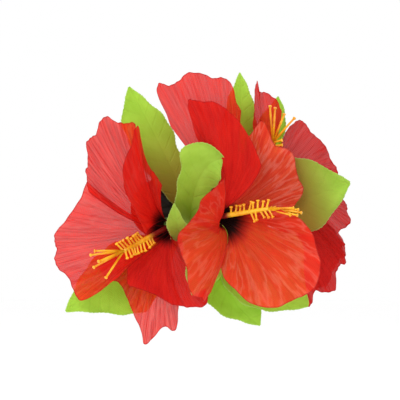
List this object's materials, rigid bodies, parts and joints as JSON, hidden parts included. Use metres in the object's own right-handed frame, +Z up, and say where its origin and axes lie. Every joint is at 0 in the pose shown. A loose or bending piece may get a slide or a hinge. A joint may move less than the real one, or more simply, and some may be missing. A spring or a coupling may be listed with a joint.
{
  "type": "flower hair clip",
  "caption": "Sprung metal hair clip covered by sheer red hibiscus flowers with golden stamens and serrated green fabric leaves.",
  "frame": {"origin": "centre of the back arm's flat scalp face, the outer face of the jaw plate", "axes": "+Y points into the head and out of the scalp face, the flowers face -Y; +X runs along the clip from its toothed tip to its finger tails and along the spray's longest extent; +Z is up as worn"},
  "size_m": [0.1486, 0.0668, 0.1353],
  "materials": {
    "petal_fabric": "sheer woven organza",
    "leaf_fabric": "stiffened woven fabric with pressed veins",
    "stamen_plastic": "moulded, satin",
    "green_plastic": "moulded, satin",
    "felt": "felt",
    "glue": "set hot-melt glue",
    "spring_steel": "drawn wire",
    "clip_steel": "nickel-plated pressed sheet"
  },
  "bodies": {
    "spray": {"felt_pad": "felt", "front_arm": "clip_steel", "glue_mound": "glue", "hinge_pin": "clip_steel", "leaf_bottom": "leaf_fabric", "leaf_bottom_left": "leaf_fabric", "leaf_bottom_right": "leaf_fabric", "leaf_centre": "leaf_fabric", "leaf_right": "leaf_fabric", "leaf_small_left": "leaf_fabric", "leaf_small_lower": "leaf_fabric", "leaf_top": "leaf_fabric", "leaf_top_left": "leaf_fabric", "leaf_top_right": "leaf_fabric", "left_calyx": "green_plastic", "left_petal_inner": "petal_fabric", "left_petal_lower": "petal_fabric", "left_petal_right": "petal_fabric", "left_petal_side": "petal_fabric", "left_petal_upper": "petal_fabric", "left_stamen": "stamen_plastic", "left_stem": "green_plastic", "middle_calyx": "green_plastic", "middle_petal_back": "petal_fabric", "middle_petal_curled": "petal_fabric", "middle_petal_front": "petal_fabric", "middle_petal_lower": "petal_fabric", "middle_petal_right": "petal_fabric", "middle_stamen": "stamen_plastic", "middle_stem": "green_plastic", "right_calyx": "green_plastic", "right_petal_hidden": "petal_fabric", "right_petal_lower": "petal_fabric", "right_petal_side": "petal_fabric", "right_petal_spike": "petal_fabric", "right_petal_upper": "petal_fabric", "right_stamen": "stamen_plastic", "right_stem": "green_plastic", "torsion_spring": "spring_steel"},
    "back_jaw": {"back_arm": "clip_steel"}
  },
  "joints": [
    {"name": "clip_hinge", "type": "hinge", "parent": "spray", "child": "back_jaw", "pos_m": [0.017, -0.004, 0], "axis": [0, 0, -1], "range_deg": [0, 24], "stiffness_Nm_per_rad": 0.15, "springref_deg": -28.65, "deforming": ["torsion_spring"]}
  ]
}
